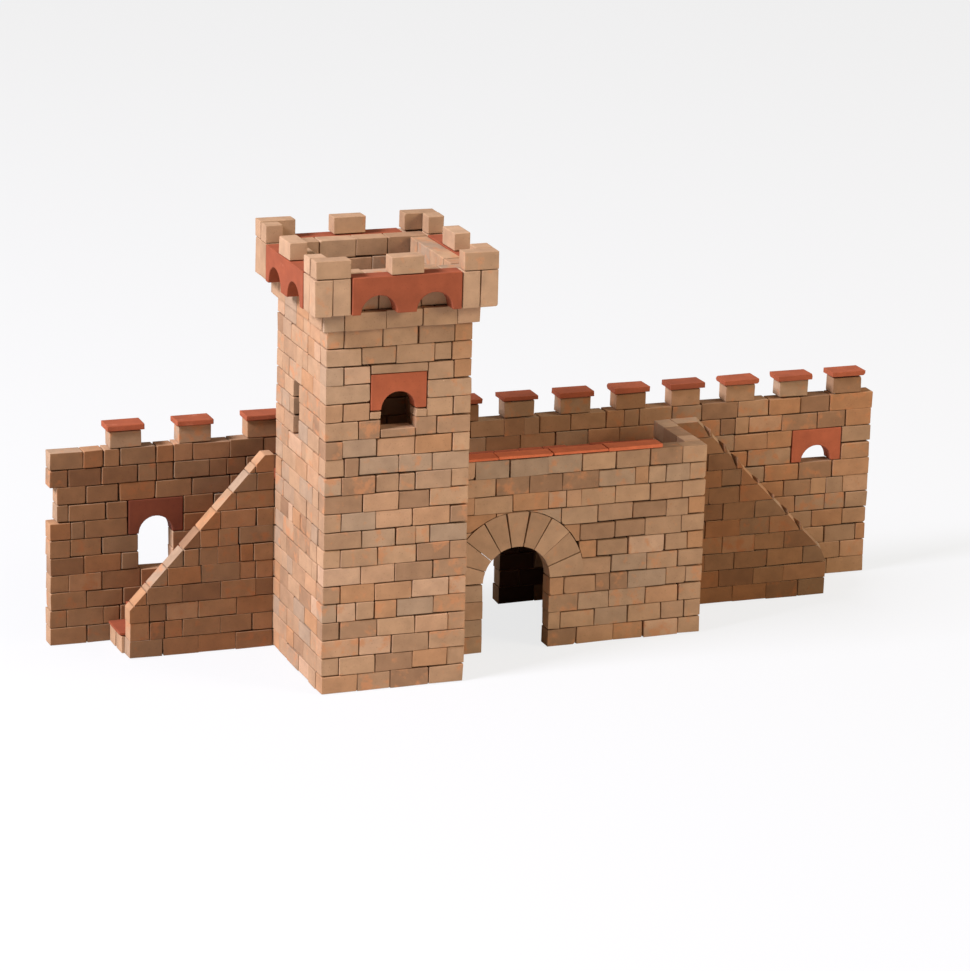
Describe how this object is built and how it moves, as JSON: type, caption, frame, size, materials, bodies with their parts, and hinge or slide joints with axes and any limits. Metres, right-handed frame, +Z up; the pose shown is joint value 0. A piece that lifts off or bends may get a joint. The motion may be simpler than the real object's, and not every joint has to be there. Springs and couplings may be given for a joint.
{
  "type": "city wall gate model kit building",
  "caption": "Model of a medieval city wall gate built from small ceramic bricks, with a battlemented tower, arched passage, stairs and wall walk.",
  "frame": {"origin": "on the ground, halfway along the city wall and halfway from the front of the tower's crown to the back of the merlon caps", "axes": "+X along the city wall to the right seen from the front, +Y from front to back, +Z up"},
  "size_m": [0.37, 0.104, 0.18],
  "materials": {
    "brick": "matt unglazed fired clay",
    "pale_brick": "matt unglazed fired clay",
    "terracotta": "matt red terracotta",
    "deck_board": "raw board, hidden under tiles"
  },
  "bodies": {
    "root": {"tower_front_wall": "brick", "tower_left_wall": "brick", "tower_right_wall": "brick", "tower_back_wall": "brick", "tower_window_lintel": "terracotta", "tower_corbel_course": "brick", "crown_corner_front_left": "pale_brick", "crown_corner_front_right": "pale_brick", "crown_corner_back_left": "pale_brick", "crown_corner_back_right": "pale_brick", "machicolation_front": "terracotta", "machicolation_left": "terracotta", "machicolation_right": "terracotta", "machicolation_back": "terracotta", "crown_merlons": "pale_brick", "gate_bay_wall": "brick", "gate_arch": "pale_brick", "gate_plain_wall": "brick", "gate_side_wall": "brick", "gate_coping": "terracotta", "city_wall_left": "brick", "city_wall_gate_bay": "brick", "city_wall_right": "brick", "rear_gate_arch": "pale_brick", "left_window_lintel": "terracotta", "right_window_lintel": "terracotta", "city_wall_merlons_left": "brick", "city_wall_merlons_right": "brick", "merlon_caps_left": "terracotta", "merlon_caps_right": "terracotta", "walk_support_wall": "brick", "walk_deck": "deck_board", "walk_tiles": "terracotta", "left_stair_parapet": "brick", "left_stair_steps": "brick", "left_stair_treads": "terracotta", "right_stair_parapet": "brick", "right_stair_steps": "brick", "right_stair_treads": "terracotta"}
  },
  "joints": []
}
